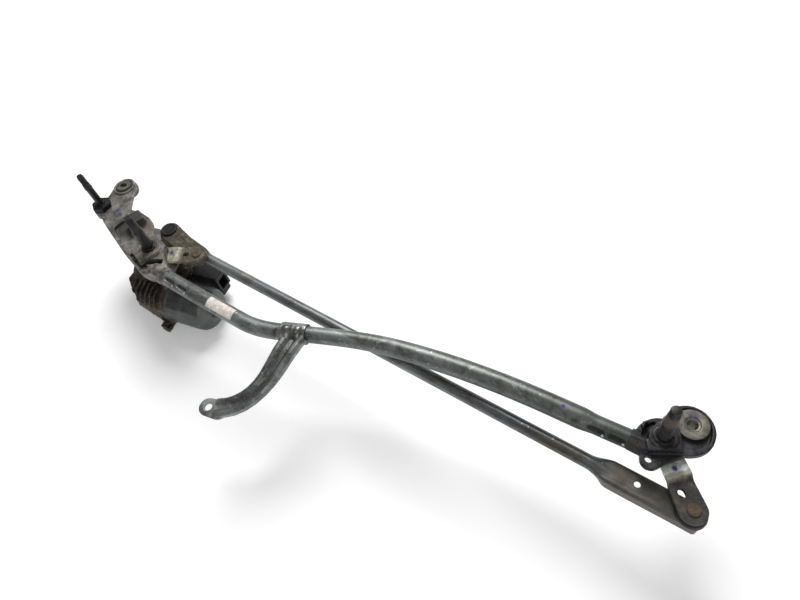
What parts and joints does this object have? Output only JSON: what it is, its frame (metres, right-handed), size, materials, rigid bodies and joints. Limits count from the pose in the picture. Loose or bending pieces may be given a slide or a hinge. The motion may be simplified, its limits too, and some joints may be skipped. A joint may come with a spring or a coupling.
{
  "type": "windshield wiper linkage with motor",
  "caption": "Windshield wiper linkage: bent frame tube with cast brackets and curved foot, levers, link rod and worm gear motor that swing the wiper spindles.",
  "frame": {"origin": "centre of the right mounting sleeve's hole, on the sleeve's bottom face", "axes": "+X along the frame from the motor end to the far bearing, +Z along the spindles towards the wiper arms"},
  "size_m": [0.8326, 0.2476, 0.183],
  "materials": {
    "galvanised_steel": "galvanised, mottled",
    "label": "printed film, no lettering",
    "cast_aluminium": "cast, satin",
    "dark_casting": "dark weathered casting",
    "rubber": "matt",
    "sleeve_steel": "dull plated",
    "bearing_bronze": "sintered",
    "black_plastic": "moulded, dusty",
    "motor_casting": "grimy casting",
    "board": "solder mask",
    "yoke_steel": "zinc plated, dull",
    "ferrite": "sintered, matt",
    "carbon": "pressed",
    "rusty_steel": "light rust",
    "dirty_steel": "grimy",
    "nylon": "moulded",
    "copper": "turned",
    "black_steel": "phosphated black, worn",
    "lever_steel": "dull plated, dirty"
  },
  "bodies": {
    "frame": {"frame_tube": "galvanised_steel", "identification_label": "label", "motor_bracket": "cast_aluminium", "right_bearing_bracket": "dark_casting", "support_foot": "galvanised_steel", "right_mount_grommet": "rubber", "right_mount_sleeve": "sleeve_steel", "left_mount_grommet": "rubber", "left_mount_sleeve": "sleeve_steel", "left_spindle_bush": "bearing_bronze", "right_spindle_bush": "bearing_bronze", "idler_spindle_bush": "bearing_bronze", "idler_spindle_collar": "black_plastic", "gear_housing": "motor_casting", "gear_cover": "black_plastic", "circuit_board": "board", "yoke": "yoke_steel", "magnet_upper": "ferrite", "magnet_lower": "ferrite", "brush_holder": "black_plastic", "brush_a": "carbon", "brush_b": "carbon", "rear_bearing": "bearing_bronze", "front_bearing": "sleeve_steel", "output_shaft_bush": "bearing_bronze", "output_shaft_seal": "rubber", "motor_screw_1": "rusty_steel", "motor_screw_2": "rusty_steel", "motor_screw_3": "rusty_steel", "cover_screw_1": "rusty_steel", "cover_screw_2": "rusty_steel", "cover_screw_3": "rusty_steel", "yoke_screw_1": "rusty_steel", "yoke_screw_2": "rusty_steel"},
    "crank": {"crank_arm": "dirty_steel", "crank_pin": "rusty_steel", "crank_nut": "rusty_steel", "output_shaft": "sleeve_steel", "worm_wheel": "nylon"},
    "armature": {"armature_shaft": "sleeve_steel", "armature_core": "ferrite", "commutator": "copper"},
    "left_spindle_set": {"left_spindle": "black_steel", "left_spindle_washer": "sleeve_steel", "left_spindle_circlip": "black_steel", "left_lever": "lever_steel", "left_lever_pin": "rusty_steel"},
    "drive_link_set": {"drive_link": "dirty_steel", "drive_link_socket": "black_plastic"},
    "right_spindle_set": {"right_spindle": "black_steel", "right_spindle_washer": "sleeve_steel", "right_spindle_circlip": "black_steel", "right_lever": "lever_steel", "right_lever_pin": "rusty_steel"},
    "link_rod_set": {"link_rod": "galvanised_steel", "link_rod_left_bush": "black_plastic", "link_rod_right_bush": "black_plastic"},
    "idler_spindle_set": {"idler_spindle": "black_steel", "idler_spindle_circlip": "black_steel"}
  },
  "joints": [
    {"name": "crank_turn", "type": "hinge", "parent": "frame", "child": "crank", "pos_m": [-0.692, -0.088, -0.019], "axis": [0, 0, 1], "range_deg": [0, 147.5]},
    {"name": "armature_turn", "type": "hinge", "parent": "frame", "child": "armature", "pos_m": [-0.68327, -0.12908, -0.064], "axis": [0.9781, 0.2079, 0], "range_deg": [0, 9145.9]},
    {"name": "left_spindle_turn", "type": "hinge", "parent": "frame", "child": "left_spindle_set", "pos_m": [-0.639, -0.105, 0.028], "axis": [0, 0, 1], "range_deg": [0, 90.01]},
    {"name": "drive_link_turn", "type": "hinge", "parent": "left_spindle_set", "child": "drive_link_set", "pos_m": [-0.58989, -0.07607, 0.006], "axis": [0, 0, 1], "range_deg": [-48.62, 0]},
    {"name": "right_spindle_turn", "type": "hinge", "parent": "frame", "child": "right_spindle_set", "pos_m": [-0.0175, -0.027, 0.028], "axis": [0, 0, 1], "range_deg": [-72.24, 0]},
    {"name": "link_rod_turn", "type": "hinge", "parent": "right_spindle_set", "child": "link_rod_set", "pos_m": [0.02744, -0.06676, -0.005], "axis": [0, 0, 1], "range_deg": [0, 73.55]},
    {"name": "idler_spindle_turn", "type": "hinge", "parent": "frame", "child": "idler_spindle_set", "pos_m": [-0.772, -0.083, 0.028], "axis": [0, 0, 1], "continuous": true}
  ],
  "couplings": [
    {"joint": "armature_turn", "follows": "crank_turn", "ratio": 62},
    {"joint": "left_spindle_turn", "follows": "crank_turn", "ratio": 0.61018},
    {"joint": "drive_link_turn", "follows": "crank_turn", "ratio": -0.32956},
    {"joint": "right_spindle_turn", "follows": "crank_turn", "ratio": -0.48972},
    {"joint": "link_rod_turn", "follows": "crank_turn", "ratio": 0.49857}
  ]
}
